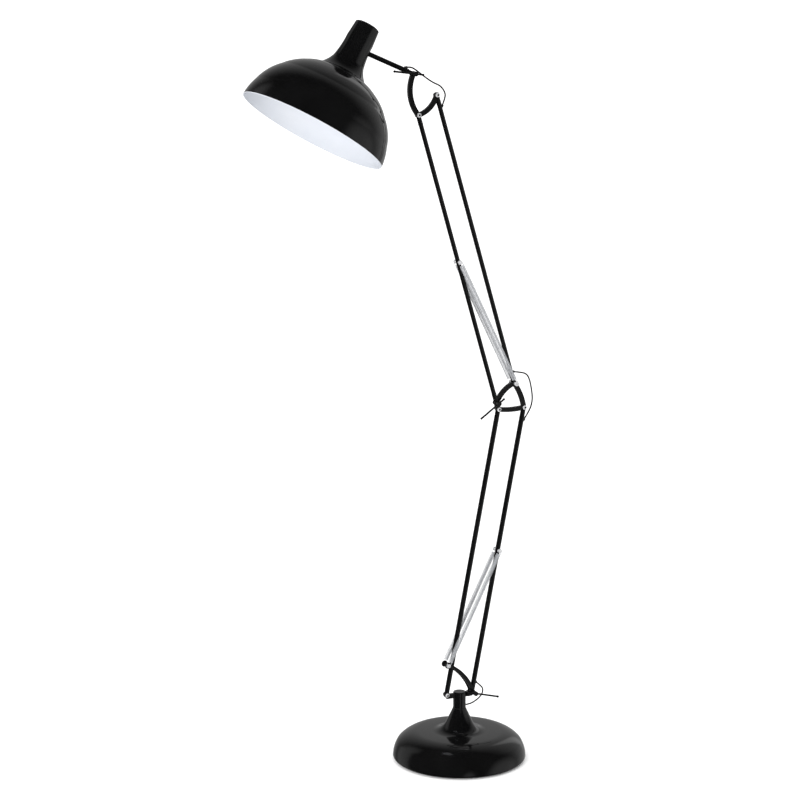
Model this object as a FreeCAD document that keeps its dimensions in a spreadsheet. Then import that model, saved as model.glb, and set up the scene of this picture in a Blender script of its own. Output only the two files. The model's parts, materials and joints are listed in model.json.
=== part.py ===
import FreeCAD, Part
import math
import os
import re
import Sketcher

# Adjustable-arm floor lamp, in millimetres.
# Row frame: origin at the middle of the base's underside, +Z up, the arms fold in the XZ plane and
# lean towards the shade on the -X side, and every arm pivot runs along Y.

SIZES = [
    ("base_radius", 173.0, "widest radius of the round base"),
    ("base_foot_radius", 165.0, "radius of the base where it meets the floor"),
    ("base_shell_wall", 1.8, "sheet thickness of the spun base shell"),
    ("pad_thick", 2.0, "foot pad under the base"),
    ("pad_radius", 146.0, "foot pad radius"),
    ("plate_thick", 1.2, "steel closing plate"),
    ("weight_radius", 142.0, "ballast disc radius"),
    ("weight_thick", 13.0, "ballast disc thickness"),
    ("base_screw_circle", 100.0, "radius of the ring of ballast screws"),
    ("inlet_radius", 6.5, "mains inlet bush, outside radius"),
    ("inlet_height", 22.0, "height of the mains inlet"),
    ("neck_top", 136.0, "top edge of the base's cone"),
    ("neck_radius", 17.5, "outside radius of the cone's top edge"),
    ("collar_radius", 16.5, "swivel collar radius"),
    ("collar_top", 178.0, "top of the swivel collar"),
    ("spindle_radius", 8.0, "swivel spindle radius"),
    ("spindle_bore", 4.0, "cable bore radius of the spindle"),
    ("pivot_height", 175.0, "height of the two base pivots"),
    ("pivot_left", -38.0, "x of the left base pivot"),
    ("pivot_right", 36.0, "x of the right base pivot"),
    ("lower_length", 756.2, "lower arm, pivot to pivot"),
    ("lower_lean", 11.04, "lower arm's lean from upright, degrees"),
    ("upper_length", 768.1, "upper arm, pivot to pivot"),
    ("upper_lean", -16.88, "upper arm's lean from upright, degrees"),
    ("lower_tube_radius", 6.5, "outside radius of the lower tubes"),
    ("upper_tube_radius", 5.75, "outside radius of the upper tubes"),
    ("tube_wall", 1.2, "wall of the arm tubes"),
    ("bracket_thick", 8.0, "thickness of the bracket bars along Y"),
    ("bar_width", 12.0, "width of the bracket bars"),
    ("lug_radius", 7.0, "round lug at each bracket pivot"),
    ("upper_fork_radius", 6.3, "forks of the upper tubes and of the head rod"),
    ("pin_radius", 3.0, "pivot bolts and pins"),
    ("running_fit", 0.05, "radial clearance of a turning pin"),
    ("moving_gap", 0.3, "clearance between parts that pass each other"),
    ("bolt_head_radius", 5.75, "button head of a pivot bolt"),
    ("bolt_head_thick", 3.2, "height of that head"),
    ("nut_thick", 5.5, "cap nut behind a pivot bolt"),
    ("spring_radius", 6.25, "outside radius of the tension springs"),
    ("spring_wall", 1.65, "wall of the plain tube that stands for the coils"),
    ("spring_offset", 13.2, "distance of each spring from the arm plane"),
    ("hook_wire", 1.0, "wire radius of the spring hooks"),
    ("hook_ring", 4.9, "radius of the hooks' centre line"),
    ("stud_radius", 3.5, "studs that the spring hooks hold on to"),
    ("hook_seat", 15.0, "distance of a stud's head from the arm plane"),
    ("hook_head_radius", 5.0, "head that keeps a hook on its stud"),
    ("side_plate_inner", 6.8, "inner face of the spring arm's side plates"),
    ("side_plate_thick", 2.5, "thickness of those plates"),
    ("side_plate_width", 10.0, "width of those plates"),
    ("flex_radius", 1.9, "radius of the black flex"),
    ("grommet_radius", 3.4, "outside radius of the tube grommets"),
    ("grommet_reach", 8.4, "distance of a grommet's mouth from the tube's axis"),
    ("tommy_radius", 2.4, "radius of the sliding clamp bars"),
    ("tommy_length", 78.0, "length of a clamp bar"),
    ("tommy_ball", 3.1, "radius of the ball at each end of a clamp bar"),
    ("rod_radius", 6.0, "head rod radius"),
    ("rod_length", 146.0, "head rod from its pivot to its tip in the shade's neck"),
    ("rod_lean", -67.8, "head rod's lean from upright, degrees"),
    ("shade_x", -403.8, "x of the middle of the shade's rim"),
    ("shade_z", 1636.0, "height of the middle of the shade's rim"),
    ("shade_lean", 30.5, "shade axis, lean from upright, degrees"),
    ("shade_radius", 188.0, "rim radius of the shade"),
    ("shade_wall", 1.2, "sheet thickness of the shade"),
    ("crease_radius", 60.0, "radius of the crease between dome and neck"),
    ("crease_height", 158.0, "height of that crease above the rim"),
    ("neck_end_radius", 31.0, "radius of the neck's upper end"),
    ("neck_end_height", 288.0, "height of the neck's upper end above the rim"),
    ("neck_waist_radius", 34.6, "radius where the neck's straight taper begins"),
    ("neck_waist_height", 248.0, "height of that place above the rim"),
    ("holder_radius", 20.0, "lamp holder radius"),
    ("bulb_radius", 30.0, "bulb glass radius"),
    ("button_radius", 6.3, "push switch button radius"),
]

doc = FreeCAD.newDocument("FloorLamp")
sheet = doc.addObject("Spreadsheet::Sheet", "Sizes")
for row, (alias, size, meaning) in enumerate(SIZES, start=1):
    sheet.set(f"A{row}", meaning)
    sheet.set(f"B{row}", str(size))
    sheet.setAlias(f"B{row}", alias)
doc.recompute()

ALIASES = [alias for alias, size, meaning in SIZES]
WORD = re.compile(r"[a-z_]+[a-z]")
X_AXIS = FreeCAD.Vector(1, 0, 0)
Y_AXIS = FreeCAD.Vector(0, 1, 0)
Z_AXIS = FreeCAD.Vector(0, 0, 1)
parts = []


# ---------------------------------------------------------------- helpers

def formula(text):
    """An expression on the sheet, from text that uses the bare aliases."""
    return WORD.sub(lambda m: "Sizes." + m.group(0) if m.group(0) in ALIASES else m.group(0), str(text))


def value(text):
    """The number that such a text stands for now."""
    found = sheet.evalExpression(formula(text))
    return float(getattr(found, "Value", found))


def bind(obj, **properties):
    """Bind properties of an object to sheet expressions."""
    for name, text in properties.items():
        obj.setExpression(name, formula(text))
    return obj


def at(x, y, z, lean=0.0):
    """A placement at a point, leaning about Y from upright."""
    return FreeCAD.Placement(FreeCAD.Vector(x, y, z), FreeCAD.Rotation(Y_AXIS, lean))


def along(start, direction):
    """A placement that carries +Z onto a direction."""
    return FreeCAD.Placement(FreeCAD.Vector(*start), FreeCAD.Rotation(Z_AXIS, FreeCAD.Vector(*direction)))


def cylinder(radius, height, start=(0, 0, 0), direction=(0, 0, 1)):
    obj = doc.addObject("Part::Cylinder", "Cylinder")
    bind(obj, Radius=radius, Height=height)
    obj.Placement = along(start, direction)
    return obj


def across(radius, near, far, x=0.0, z=0.0):
    """A cylinder along Y from near to far, both texts."""
    return cylinder(radius, f"({far}) - ({near})", (x, value(near), z), (0, 1, 0))


def box(length, width, height, start):
    obj = doc.addObject("Part::Box", "Box")
    bind(obj, Length=length, Width=width, Height=height)
    obj.Placement = FreeCAD.Placement(FreeCAD.Vector(*start), FreeCAD.Rotation())
    return obj


def sphere(radius, centre):
    obj = doc.addObject("Part::Sphere", "Sphere")
    bind(obj, Radius=radius)
    obj.Placement = FreeCAD.Placement(FreeCAD.Vector(*centre), FreeCAD.Rotation())
    return obj


def fused(*shapes):
    obj = doc.addObject("Part::MultiFuse", "Fused")
    obj.Shapes = list(shapes)
    return obj


def cut(base, *tools):
    """The base less every tool, as a chain of cuts."""
    for tool in tools:
        obj = doc.addObject("Part::Cut", "Cut")
        obj.Base = base
        obj.Tool = tool
        base = obj
    return base


def group(*shapes):
    """Separate solids kept together as one sub-part."""
    obj = doc.addObject("Part::Compound", "Group")
    obj.Links = list(shapes)
    return obj


def common(first, second):
    obj = doc.addObject("Part::Common", "Common")
    obj.Base = first
    obj.Tool = second
    return obj


def part(label, obj, placement=None):
    """Name a finished sub-part and put it in its place."""
    obj.Label = label
    if placement is not None:
        obj.Placement = placement.multiply(obj.Placement)
    parts.append(obj)
    return obj


def sketch_arc(start, through, end):
    """The arc through three points of a sketch, anticlockwise as a sketch keeps its arcs."""
    circle = Part.Circle(start, through, end)
    centre = circle.Center
    angles = [math.atan2(p.y - centre.y, p.x - centre.x) for p in (start, end)]
    anticlockwise = (through - start).cross(end - through).z > 0
    first, last = angles if anticlockwise else reversed(angles)
    if last < first:
        last += 2 * math.pi
    return Part.ArcOfCircle(Part.Circle(centre, Z_AXIS, circle.Radius), first, last)


def turned(label, outline, placement=None):
    """A PartDesign body turned about its own Z axis from a closed outline.

    Each entry is (r, z) for a straight edge to that point, or (r, z, through_r, through_z) for an arc.
    The entries are sheet expressions, and bind the sketch's corners.
    """
    body = doc.addObject("PartDesign::Body", "Body")
    sketch = body.newObject("Sketcher::SketchObject", "Outline")
    plane = [f for f in body.Origin.OriginFeatures if f.Role == "XZ_Plane"][0]
    sketch.AttachmentSupport = (plane, "")
    sketch.MapMode = "FlatFace"
    corners = [FreeCAD.Vector(value(e[0]), value(e[1]), 0) for e in outline]
    ends = []
    for i, entry in enumerate(outline):
        start, end = corners[i - 1], corners[i]
        if len(entry) == 4:
            through = FreeCAD.Vector(value(entry[2]), value(entry[3]), 0)
            edge = sketch.addGeometry(sketch_arc(start, through, end))
        else:
            edge = sketch.addGeometry(Part.LineSegment(start, end))
        forward = (sketch.Geometry[edge].StartPoint - start).Length < 1e-4
        ends.append((edge, 1 if forward else 2, 2 if forward else 1))
    for i, entry in enumerate(outline):
        edge, first, last = ends[i]
        after, after_first, after_last = ends[(i + 1) % len(ends)]
        sketch.addConstraint(Sketcher.Constraint("Coincident", edge, last, after, after_first))
        if len(entry) == 4:
            sketch.addConstraint(Sketcher.Constraint("Radius", edge, sketch.Geometry[edge].Radius))
        for kind, axis, text in (("DistanceX", -2, entry[0]), ("DistanceY", -1, entry[1])):
            number = value(text)
            if abs(number) < 1e-9:
                sketch.addConstraint(Sketcher.Constraint("PointOnObject", edge, last, axis))
            else:
                index = sketch.addConstraint(Sketcher.Constraint(kind, -1, 1, edge, last, number))
                sketch.setExpression(f"Constraints[{index}]", formula(text))
    turn = body.newObject("PartDesign::Revolution", "Turn")
    turn.Profile = sketch
    turn.ReferenceAxis = (sketch, ["V_Axis"])
    turn.Angle = 360
    doc.recompute()
    return part(label, body, placement)


def curved_bar(start, end, bow, width, near, far):
    """A bar bent to one arc between two (x, z) points, from y = near to y = far.

    A positive bow lies to the left of the way from start to end, seen with +X right and +Z up.
    """
    dx, dz = end[0] - start[0], end[1] - start[1]
    chord = math.hypot(dx, dz)
    rise = abs(bow)
    radius = (chord * chord / 4 + rise * rise) / (2 * rise)
    side = math.copysign(1.0, bow)
    middle = ((start[0] + end[0]) / 2, (start[1] + end[1]) / 2)
    reach = side * (radius - rise) / chord
    centre = (middle[0] + dz * reach, middle[1] - dx * reach)
    half = math.degrees(math.asin(chord / 2 / radius))
    towards = math.degrees(math.atan2(middle[1] - centre[1], middle[0] - centre[0]))
    # A cylinder's sector opens from its local X axis towards its local Y axis, and its axis is put
    # along -Y here, which takes local X to world X and local Y to world Z.
    frame = FreeCAD.Placement(FreeCAD.Vector(centre[0], value(far), centre[1]),
                              FreeCAD.Rotation(X_AXIS, 90).multiply(FreeCAD.Rotation(Z_AXIS, towards - half)))
    solids = []
    for offset in (f"+ ({width}) / 2", f"- ({width}) / 2"):
        obj = doc.addObject("Part::Cylinder", "Sector")
        bind(obj, Radius=f"{radius} {offset}", Height=f"({far}) - ({near})")
        obj.Angle = 2 * half
        obj.Placement = frame
        solids.append(obj)
    return cut(*solids)


def straight_bar(start, end, width, near, far):
    """A flat bar between two (x, z) points, from y = near to y = far."""
    dx, dz = end[0] - start[0], end[1] - start[1]
    lean = math.degrees(math.atan2(dx, dz))
    bar = box(width, f"({far}) - ({near})", str(math.hypot(dx, dz)), (-value(width) / 2, value(near), 0))
    bar.Placement = at(start[0], 0, start[1], lean).multiply(bar.Placement)
    return bar


def rounded_path(points, label):
    """Straight runs joined by tangent arcs, as one wire, with each radius printed."""
    points = [FreeCAD.Vector(*p) for p in points]
    edges = []
    here = points[0]
    radii = []
    for before, corner, after in zip(points, points[1:], points[2:]):
        back, ahead = (before - corner), (after - corner)
        run = min(back.Length, ahead.Length)
        half_turn = (math.pi - back.getAngle(ahead)) / 2
        radius = 0.45 * run / math.tan(half_turn)
        trim = radius * math.tan(half_turn)
        back.normalize()
        ahead.normalize()
        first, last = corner + back * trim, corner + ahead * trim
        bisector = (back + ahead).normalize()
        centre = corner + bisector * (radius / math.cos(half_turn))
        through = centre - bisector * radius
        edges.append(Part.LineSegment(here, first).toShape())
        edges.append(Part.Arc(first, through, last).toShape())
        here = last
        radii.append(round(radius, 1))
    edges.append(Part.LineSegment(here, points[-1]).toShape())
    print(label, "radii", radii)
    return Part.Wire(edges)


def flex(label, points, placement=None):
    """A stretch of the round flex along its route."""
    path = rounded_path(points, label)
    start = path.Edges[0].Vertexes[0].Point
    tangent = path.Edges[0].tangentAt(path.Edges[0].FirstParameter)
    radius = value("flex_radius")
    section = Part.Wire([Part.Circle(start, tangent, radius).toShape()])
    shape = path.makePipeShell([section], True, True)
    expected = math.pi * radius * radius * path.Length
    print(label, "length", round(path.Length, 1), "volume ratio", round(shape.Volume / expected, 4))
    obj = doc.addObject("Part::Feature", "Flex")
    obj.Shape = shape
    return part(label, obj, placement)


# ---------------------------------------------------------------- places worked out from the sheet

def arm_end(start, length, lean):
    angle = math.radians(value(lean))
    return start[0] + value(length) * math.sin(angle), start[1] + value(length) * math.cos(angle)


def offset(point, dx, dz):
    return point[0] + dx, point[1] + dz


BASE_LEFT = (value("pivot_left"), value("pivot_height"))
BASE_RIGHT = (value("pivot_right"), value("pivot_height"))
SPRING_FOOT = (-38.6, 257.0)
RIVET = (23.0, 170.5)
ELBOW_LEFT = arm_end(BASE_LEFT, "lower_length", "lower_lean")
ELBOW_RIGHT = arm_end(BASE_RIGHT, "lower_length", "lower_lean")
ELBOW_CLAMP = offset(ELBOW_LEFT, -5.2, 16.8)
ELBOW_TOP = offset(ELBOW_LEFT, 45.0, 65.2)
HEAD_LEFT = arm_end(ELBOW_CLAMP, "upper_length", "upper_lean")
HEAD_RIGHT = arm_end(ELBOW_TOP, "upper_length", "upper_lean")
HEAD_PIVOT = offset(HEAD_LEFT, -13.6, 100.5)
LOWER_MIDDLE = arm_end(BASE_RIGHT, "lower_length / 2", "lower_lean")
UPPER_MIDDLE = arm_end(ELBOW_CLAMP, "upper_length / 2", "upper_lean")

LOWER_RIGHT_FRAME = at(BASE_RIGHT[0], 0, BASE_RIGHT[1], value("lower_lean"))
LOWER_LEFT_FRAME = at(BASE_LEFT[0], 0, BASE_LEFT[1], value("lower_lean"))
UPPER_RIGHT_FRAME = at(ELBOW_TOP[0], 0, ELBOW_TOP[1], value("upper_lean"))
UPPER_LEFT_FRAME = at(ELBOW_CLAMP[0], 0, ELBOW_CLAMP[1], value("upper_lean"))
ROD_FRAME = at(HEAD_PIVOT[0], 0, HEAD_PIVOT[1], value("rod_lean"))
SHADE_FRAME = at(value("shade_x"), 0, value("shade_z"), value("shade_lean"))

# Where each flex route meets a tube: distance of the crossing from that tube's nearer pivot, and the
# angle between the grommet and the tube's own cross direction.
GROMMET_BASE = (29.5, 28.0)
GROMMET_ELBOW_LOW = (46.0, 64.0)
GROMMET_ELBOW_HIGH = (32.0, 25.0)
GROMMET_HEAD = (38.0, 50.0)
GROMMET_ROD = (36.0, 60.0)

# Each clevis: its length from the pivot to the tube's end, and the depth of its slot.
FORK_SHORT = (19.0, 15.0)
FORK_LONG = (25.0, 22.5)


# ---------------------------------------------------------------- base

def base_shell():
    """The spun steel shell, from the rolled foot to the cone's top edge, with the mains inlet's hole."""
    shell = turned("spun_shell", [
        ("147.2", "pad_thick"),
        ("base_foot_radius", "pad_thick"),
        ("base_radius", "10", "base_foot_radius + 5.4", "5"),
        ("161", "49", "base_radius - 4.5", "34"),
        ("108", "75", "138", "67"),
        ("73", "76.3"),
        ("33.3", "101.9", "49", "83"),
        ("neck_radius", "neck_top"),
        ("neck_radius - base_shell_wall - 0.2", "neck_top"),
        ("31.3", "101.9"),
        ("73", "76.3 - base_shell_wall", "48", "81"),
        ("108", "75 - base_shell_wall"),
        ("161 - 1.3", "49 - 1.3", "138 - 0.8", "67 - 1.7"),
        ("base_radius - base_shell_wall", "10", "base_radius - 4.5 - base_shell_wall", "34"),
        ("base_foot_radius", "pad_thick + base_shell_wall", "base_foot_radius + 4.2", "6.2"),
        ("147.2", "pad_thick + base_shell_wall"),
    ])
    parts.remove(shell)
    part("base_shell", cut(shell, inlet("inlet_radius", "30", 20)))


def inlet(radius, length, inside):
    """A cylinder on the mains inlet's axis, from a distance inside the base's widest radius."""
    return cylinder(radius, length, (0, value("base_radius") - inside, value("inlet_height")), (0, 1, 0))


def ring_of(shape_at, count, radius):
    """Copies of a small shape around the base's axis."""
    made = []
    for i in range(count):
        angle = math.pi / count + 2 * math.pi * i / count
        made.append(shape_at(radius * math.cos(angle), radius * math.sin(angle)))
    return made


def base_inside():
    circle = value("base_screw_circle")
    plate_top = "pad_thick + plate_thick"
    pad = cylinder("pad_radius", "pad_thick")
    holes = ring_of(lambda x, y: cylinder("7", "pad_thick + 2", (x, y, -1)), 4, circle)
    part("base_pad", cut(pad, *holes))
    plate = cylinder("pad_radius + 0.9", "plate_thick", (0, 0, value("pad_thick")))
    holes = ring_of(lambda x, y: cylinder("2.6", "4", (x, y, value("pad_thick") - 1)), 4, circle)
    part("base_plate", cut(plate, *holes))
    weight = cylinder("weight_radius", "weight_thick", (0, 0, value(plate_top)))
    holes = ring_of(lambda x, y: cylinder("2.6", "20", (x, y, 1)), 4, circle)
    part("base_weight", cut(weight, cylinder("15", "30", (0, 0, 0)), *holes))

    def screw(x, y):
        head = cylinder("5", "1.5", (x, y, value("pad_thick") - 1.5))
        return fused(head, cylinder("2.5", "12", (x, y, value("pad_thick"))))

    part("base_screws", group(*ring_of(screw, 4, circle)))


def neck_bush():
    turned("neck_bush", [
        ("spindle_radius + running_fit", "100"),
        ("neck_radius - base_shell_wall - 0.2", "100"),
        ("neck_radius - base_shell_wall - 0.2", "neck_top"),
        ("neck_radius - 0.4", "neck_top"),
        ("neck_radius - 0.4", "neck_top + 1.3"),
        ("spindle_radius + running_fit", "neck_top + 1.3"),
    ])


def cable_gland():
    """The mains inlet at the back, a bush pressed through the side of the shell."""
    body = fused(inlet("inlet_radius", "12", 12), inlet("inlet_radius + 2.5", "2", -0.05))
    part("cable_gland", cut(body, inlet("3.5", "30", 20)))


# ---------------------------------------------------------------- swivel and base bracket

def spindle():
    post = cylinder("spindle_radius", "172 - 84", (0, 0, 84))
    bore = cylinder("spindle_bore", "145 - 80", (0, 0, 80))
    outlet = cylinder("2.4", "20", (0, 0, 141), (1, 0, 0))
    part("swivel_spindle", cut(post, bore, outlet))
    nut = hexagon("12.5", "7", (0, 0, 90.5))
    washer = cylinder("13", "1.8", (0, 0, 97.7))
    fixings = [cut(piece, cylinder("spindle_radius", "20", (0, 0, 85))) for piece in (nut, washer)]
    part("spindle_nut", group(*fixings))


def hexagon(radius, height, start, direction=(0, 0, 1)):
    obj = doc.addObject("Part::Prism", "Hexagon")
    obj.Polygon = 6
    bind(obj, Circumradius=radius, Height=height)
    obj.Placement = along(start, direction)
    return obj


def lug(point, near="-bracket_thick / 2", far="bracket_thick / 2", radius="lug_radius"):
    return across(radius, near, far, *point)


def bore_at(point, radius="pin_radius + running_fit"):
    return across(radius, "-30", "30", *point)


def bracket_bar(start, end, bow):
    return curved_bar(start, end, bow, "bar_width", "-bracket_thick / 2", "bracket_thick / 2")


def lower_bracket():
    half = "bracket_thick / 2"
    collar = cylinder("collar_radius", "collar_top - neck_top - 1.6", (0, 0, value("neck_top") + 1.6))
    bar = box("pivot_right - pivot_left", "bracket_thick", "12.5",
              (value("pivot_left"), -value(half), value("pivot_height") - 10.5))
    cap = doc.addObject("Part::Cone", "Cap")
    bind(cap, Radius1="collar_radius", Radius2="collar_radius - 1.2", Height="2")
    cap.Placement = at(0, 0, value("collar_top"))
    body = fused(collar, cap, bar, lug(BASE_LEFT), lug(BASE_RIGHT))
    spindle_hole = cylinder("spindle_radius", "172 - 130", (0, 0, 130))
    outlet = cylinder("2.4", "20", (5, 0, 141), (1, 0, 0))
    rivet_hole = bore_at(RIVET, "2.5")
    part("lower_bracket", cut(body, spindle_hole, outlet, bore_at(BASE_LEFT), bore_at(BASE_RIGHT), rivet_hole))


def spring_arm():
    """Two side plates that carry the lower springs, one each side of the tubes."""
    plates = []
    for side in (-1, 1):
        inner, outer = "side_plate_inner", "side_plate_inner + side_plate_thick"
        near, far = (f"-({outer})", f"-({inner})") if side < 0 else (inner, outer)
        curve = curved_bar(BASE_RIGHT, SPRING_FOOT, -11.5, "side_plate_width", near, far)
        foot = straight_bar(RIVET, BASE_RIGHT, "side_plate_width", near, far)
        ends = [lug(BASE_RIGHT, near, far, "6.5"), lug(SPRING_FOOT, near, far, "7.5"), lug(RIVET, near, far, "5")]
        body = fused(curve, foot, *ends)
        holes = [bore_at(BASE_RIGHT), bore_at(SPRING_FOOT, "2.5"), bore_at(RIVET, "2.5")]
        plates.append(cut(body, *holes))
    part("spring_arm_plates", group(*plates))
    studs = []
    for side in (-1, 1):
        direction = (0, side, 0)
        inner = value("side_plate_inner")
        outer = inner + value("side_plate_thick")
        neck = cylinder("2.5", "side_plate_thick", (SPRING_FOOT[0], side * inner, SPRING_FOOT[1]), direction)
        disc = cylinder("8.5", "1.6", (SPRING_FOOT[0], side * outer, SPRING_FOOT[1]), direction)
        shank = cylinder("stud_radius", "hook_seat + 1.2 - side_plate_inner - side_plate_thick",
                         (SPRING_FOOT[0], side * outer, SPRING_FOOT[1]), direction)
        head = cylinder("hook_head_radius", "1.5",
                        (SPRING_FOOT[0], side * value("hook_seat + 1.2"), SPRING_FOOT[1]), direction)
        studs.append(fused(neck, disc, shank, head))
    spacers = [across("4.2", "-side_plate_inner", "-bracket_thick / 2", *RIVET),
               across("4.2", "bracket_thick / 2", "side_plate_inner", *RIVET)]
    pin = across("2.5", "-side_plate_inner - side_plate_thick", "side_plate_inner + side_plate_thick", *RIVET)
    heads = [across("4", "-side_plate_inner - side_plate_thick - 1.5", "-side_plate_inner - side_plate_thick", *RIVET),
             across("4", "side_plate_inner + side_plate_thick", "side_plate_inner + side_plate_thick + 1.5", *RIVET)]
    part("spring_arm_pins", group(fused(pin, *spacers, *heads), *studs))


# ---------------------------------------------------------------- arm tubes and their fittings

def crossing(length, grommet, far_end):
    """Where a grommet's axis crosses a tube's axis, and its outward direction, in the tube's frame."""
    distance, angle = grommet
    turn = math.radians(angle)
    if far_end:
        return length - distance, (math.cos(turn), 0, math.sin(turn))
    return distance, (math.cos(turn), 0, -math.sin(turn))


def mouth(length, grommet, far_end, beyond=0.0):
    """The middle of a grommet's outer face, or a point further out on its axis, in the tube's frame."""
    z, direction = crossing(length, grommet, far_end)
    reach = value("grommet_reach") / direction[0] + beyond
    return (direction[0] * reach, 0, z + direction[2] * reach)


def grommet(radius, length, place, far_end):
    """A slanted sleeve that lines a tube's cable hole."""
    z, direction = crossing(length, place, far_end)
    reach = value("grommet_reach") / direction[0]
    start = (value(radius) - value("tube_wall")) / direction[0]
    base = (direction[0] * start, 0, z + direction[2] * start)
    sleeve = cylinder("grommet_radius", str(reach - start), base, direction)
    bore = cylinder("flex_radius", str(reach - start + 4), [b - 2 * d for b, d in zip(base, direction)], direction)
    return cut(sleeve, bore)


def cable_hole(length, place, far_end):
    z, direction = crossing(length, place, far_end)
    return cylinder("grommet_radius", "40", (0, 0, z), direction)


def tube(label, radius, length, low_fork, high_fork, frame, holes=(), pins=()):
    """An arm tube between its two forks, with holes for cables and for a spring pin."""
    start, stop = low_fork[0], value(length) - high_fork[0]
    outer = cylinder(radius, f"{length} - {low_fork[0] + high_fork[0]}", (0, 0, start))
    inner = cylinder(f"{radius} - tube_wall", f"{length}", (0, 0, 0))
    openings = [cable_hole(value(length), place, far_end) for place, far_end in holes]
    openings += [across("pin_radius", "-20", "20", 0, z) for z in pins]
    return part(label, cut(outer, inner, *openings), frame)


def fork(radius, tube_radius, lengths, length=0.0, far_end=False, bore="pin_radius"):
    """A clevis with its pivot at the tube frame's origin, or at the far end, looking back."""
    reach, slot = lengths
    solid = cylinder(radius, f"{reach} + ({radius})", (0, 0, -value(radius)))
    profile = fused(across(radius, "-20", "20"), box(f"2 * ({radius})", "40", str(reach), (-value(radius), -20, 0)))
    spigot = cylinder(f"{tube_radius} - tube_wall", "4", (0, 0, reach))
    slot_box = box("40", "bracket_thick + 2 * moving_gap", f"{slot} + 20",
                   (-20, -value("bracket_thick / 2 + moving_gap"), -20))
    body = cut(fused(common(solid, profile), spigot), slot_box, bore_at((0, 0), bore))
    if far_end:
        body.Placement = at(0, 0, length, 180)
    return body


def pivot_bolt(fork_radius, x=0.0, z=0.0):
    """A button-head bolt: head towards -Y, shank up to the nut."""
    half = fork_radius
    head = across("bolt_head_radius", f"-({half}) - bolt_head_thick", f"-({half})", x, z)
    shank = across("pin_radius", f"-({half})", f"({half}) + nut_thick - 1", x, z)
    socket = hexagon("2.3", "1.8", (x, -value(half) - value("bolt_head_thick"), z), (0, 1, 0))
    return cut(fused(head, shank), socket)


def cap_nut(fork_radius, x=0.0, z=0.0):
    half = fork_radius
    hexed = hexagon("5.6", "nut_thick - 1.5", (x, value(half), z), (0, 1, 0))
    dome = across("4.6", f"({half}) + nut_thick - 1.5", f"({half}) + nut_thick", x, z)
    return cut(fused(hexed, dome), across("pin_radius", f"({half}) - 1", f"({half}) + nut_thick - 1", x, z))


def spring_pin(tube_radius, z):
    """A stud for a spring hook on each side of a tube, set in the tube's wall."""
    rings = [("pin_radius", f"{tube_radius} - tube_wall", "hook_seat"),
             ("stud_radius", tube_radius, "hook_seat"),
             ("hook_head_radius", "hook_seat", "hook_seat + 1.8")]
    right = fused(*[across(radius, near, far, 0, z) for radius, near, far in rings])
    left = fused(*[across(radius, f"-({far})", f"-({near})", 0, z) for radius, near, far in rings])
    return group(left, right)


def lower_arms():
    radius, length = "lower_tube_radius", "lower_length"
    span = value(length)
    middle = span / 2
    holes = ((GROMMET_BASE, False), (GROMMET_ELBOW_LOW, True))
    tube("lower_right_tube", radius, length, FORK_SHORT, FORK_LONG, LOWER_RIGHT_FRAME, holes, (middle,))
    tube("lower_left_tube", radius, length, FORK_SHORT, FORK_LONG, LOWER_LEFT_FRAME)
    turning = "pin_radius + running_fit"
    low_fork = cut(fork(radius, radius, FORK_SHORT, bore=turning), cable_hole(span, GROMMET_BASE, False))
    high_fork = cut(fork(radius, radius, FORK_LONG, span, True), cable_hole(span, GROMMET_ELBOW_LOW, True))
    part("lower_right_forks", group(low_fork, high_fork), LOWER_RIGHT_FRAME)
    part("lower_left_forks", group(fork(radius, radius, FORK_SHORT),
                                   fork(radius, radius, FORK_LONG, span, True)), LOWER_LEFT_FRAME)
    part("lower_grommets", group(*[grommet(radius, span, place, far) for place, far in holes]), LOWER_RIGHT_FRAME)
    part("lower_spring_pin", spring_pin(radius, middle), LOWER_RIGHT_FRAME)
    part("lower_right_bolt", pivot_bolt(radius, z=span), LOWER_RIGHT_FRAME)
    part("lower_right_nut", cap_nut(radius, z=span), LOWER_RIGHT_FRAME)
    part("lower_left_bolts", group(pivot_bolt(radius), pivot_bolt(radius, z=span)), LOWER_LEFT_FRAME)
    part("lower_left_nuts", group(cap_nut(radius), cap_nut(radius, z=span)), LOWER_LEFT_FRAME)


def upper_arms():
    radius, head, length = "upper_tube_radius", "upper_fork_radius", "upper_length"
    span = value(length)
    middle = span / 2
    holes = ((GROMMET_ELBOW_HIGH, False), (GROMMET_HEAD, True))
    tube("upper_right_tube", radius, length, FORK_LONG, FORK_LONG, UPPER_RIGHT_FRAME, holes)
    tube("upper_left_tube", radius, length, FORK_LONG, FORK_LONG, UPPER_LEFT_FRAME, (), (middle,))
    turning = "pin_radius + running_fit"
    low_fork = cut(fork(head, radius, FORK_LONG, bore=turning), cable_hole(span, GROMMET_ELBOW_HIGH, False))
    high_fork = cut(fork(head, radius, FORK_LONG, span, True), cable_hole(span, GROMMET_HEAD, True))
    part("upper_right_forks", group(low_fork, high_fork), UPPER_RIGHT_FRAME)
    part("upper_left_forks", group(fork(head, radius, FORK_LONG, bore=turning),
                                   fork(head, radius, FORK_LONG, span, True)), UPPER_LEFT_FRAME)
    part("upper_grommets", group(*[grommet(radius, span, place, far) for place, far in holes]), UPPER_RIGHT_FRAME)
    part("upper_spring_pin", spring_pin(radius, middle), UPPER_LEFT_FRAME)
    part("upper_right_bolt", pivot_bolt(head, z=span), UPPER_RIGHT_FRAME)
    part("upper_right_nut", cap_nut(head, z=span), UPPER_RIGHT_FRAME)
    part("upper_left_bolt", pivot_bolt(head, z=span), UPPER_LEFT_FRAME)
    part("upper_left_nut", cap_nut(head, z=span), UPPER_LEFT_FRAME)


# ---------------------------------------------------------------- elbow and head brackets

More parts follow.
